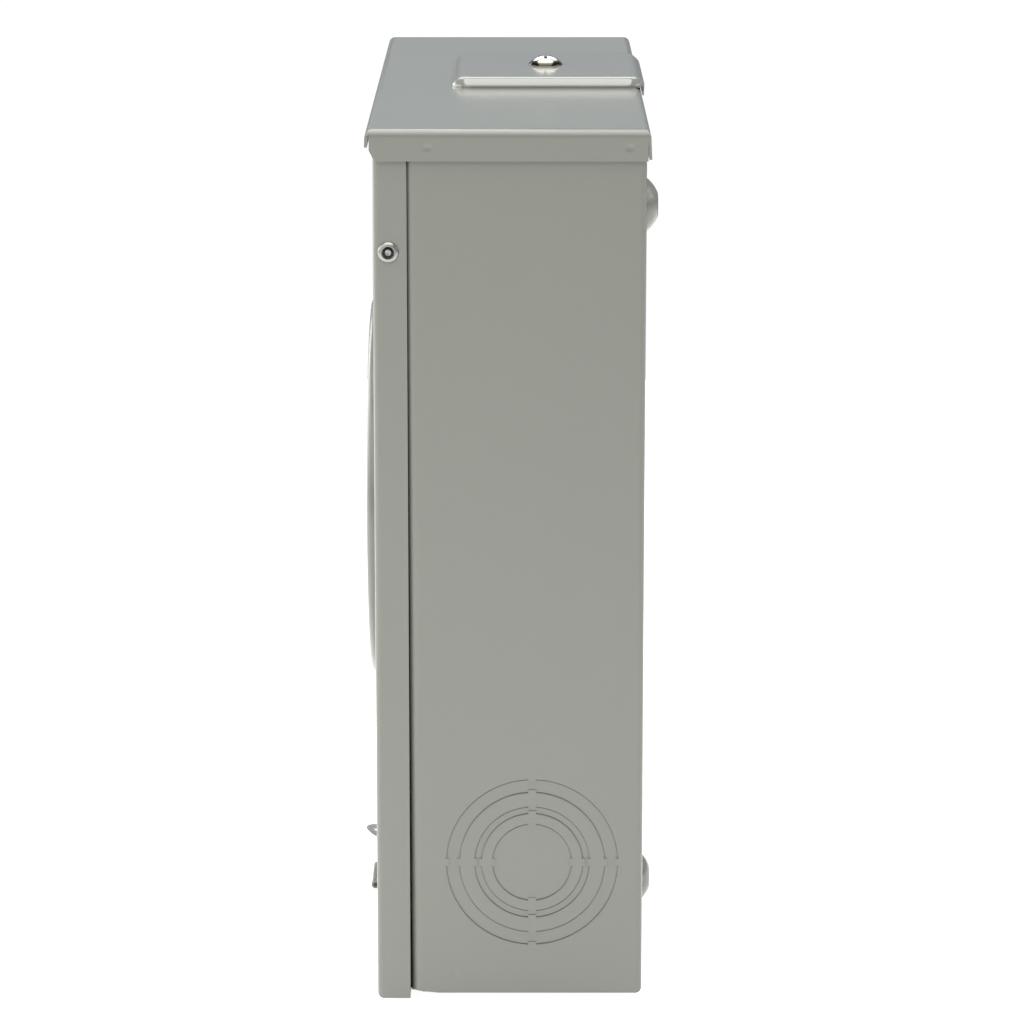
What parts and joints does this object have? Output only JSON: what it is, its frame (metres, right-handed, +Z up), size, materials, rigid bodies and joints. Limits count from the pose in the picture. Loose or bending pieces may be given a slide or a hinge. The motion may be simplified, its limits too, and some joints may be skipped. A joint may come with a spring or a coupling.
{
  "type": "subpanel enclosure",
  "caption": "Surface-mounted rainproof steel box with a hood, a flip-up door, a hub closure plate, side knockouts and a breaker interior behind a deadfront.",
  "frame": {"origin": "on the wall plane, midway between the two upper mounting holes", "axes": "+Z up, +Y into the wall, +X to the right seen from the front"},
  "size_m": [0.3648, 0.134, 0.3958],
  "materials": {
    "box_paint": "grey powder coat over galvanised sheet, satin",
    "hood_paint": "grey powder coat over galvanised sheet, satin",
    "door_paint": "grey powder coat over galvanised sheet, satin",
    "deadfront_paint": "grey powder coat, satin",
    "gasket_foam": "closed-cell foam",
    "zinc_plate": "clear zinc plate",
    "latch_zinc": "bright zinc plate",
    "bright_screw": "bright nickel plate",
    "rivet_steel": "plain steel",
    "bare_steel": "plain steel",
    "spring_steel": "spring steel",
    "zinc_screw": "zinc plate",
    "galvanised": "galvanised sheet",
    "black_moulding": "moulded thermoset",
    "plated_copper": "tin-plated bar",
    "terminal_aluminium": "extruded and tin-plated",
    "green_screw": "green dye over zinc",
    "card": "uncoated card"
  },
  "bodies": {
    "box": {"enclosure_body": "box_paint", "bottom_endwall": "box_paint", "rain_hood": "hood_paint", "hub_closure_plate": "hood_paint", "hub_gasket": "gasket_foam", "hub_clamp_bar": "zinc_plate", "hub_plate_screw": "bright_screw", "hinge_pin_left": "bare_steel", "hinge_pin_right": "bare_steel", "latch_bracket": "zinc_plate", "latch_pin": "bare_steel", "latch_spring": "spring_steel", "deadfront": "deadfront_paint", "deadfront_brackets": "zinc_plate", "deadfront_screws": "zinc_screw", "interior_pan": "galvanised", "pan_screws": "zinc_screw", "bus_insulator": "black_moulding", "bus_bar_left": "plated_copper", "bus_bar_right": "plated_copper", "breaker_rail_left": "galvanised", "breaker_rail_right": "galvanised", "main_lug_left": "terminal_aluminium", "main_lug_right": "terminal_aluminium", "lug_screws": "zinc_screw", "neutral_insulator_left": "black_moulding", "neutral_insulator_right": "black_moulding", "neutral_bar_left": "terminal_aluminium", "neutral_bar_right": "terminal_aluminium", "neutral_screws": "zinc_screw", "neutral_strap": "terminal_aluminium", "neutral_lug": "terminal_aluminium", "neutral_lug_screw": "zinc_screw", "bonding_screw": "green_screw", "ground_bar": "terminal_aluminium", "ground_bar_screws": "zinc_screw", "ground_mount_screws": "zinc_screw"},
    "door": {"door": "door_paint", "door_pull": "door_paint", "directory_card": "card", "hinge_arm_left": "zinc_plate", "hinge_arm_right": "zinc_plate", "door_rivet_left": "rivet_steel", "door_rivet_right": "rivet_steel"},
    "latch": {"latch_tongue": "latch_zinc"}
  },
  "joints": [
    {"name": "door_hinge", "type": "hinge", "parent": "box", "child": "door", "pos_m": [0, -0.11685, 0.024], "axis": [-1, 0, 0], "range_deg": [0, 95]},
    {"name": "latch_press", "type": "hinge", "parent": "box", "child": "latch", "pos_m": [0, -0.11235, -0.3365], "axis": [1, 0, 0], "range_deg": [0, 12], "stiffness_Nm_per_rad": 0.2, "springref_deg": -17.19}
  ]
}
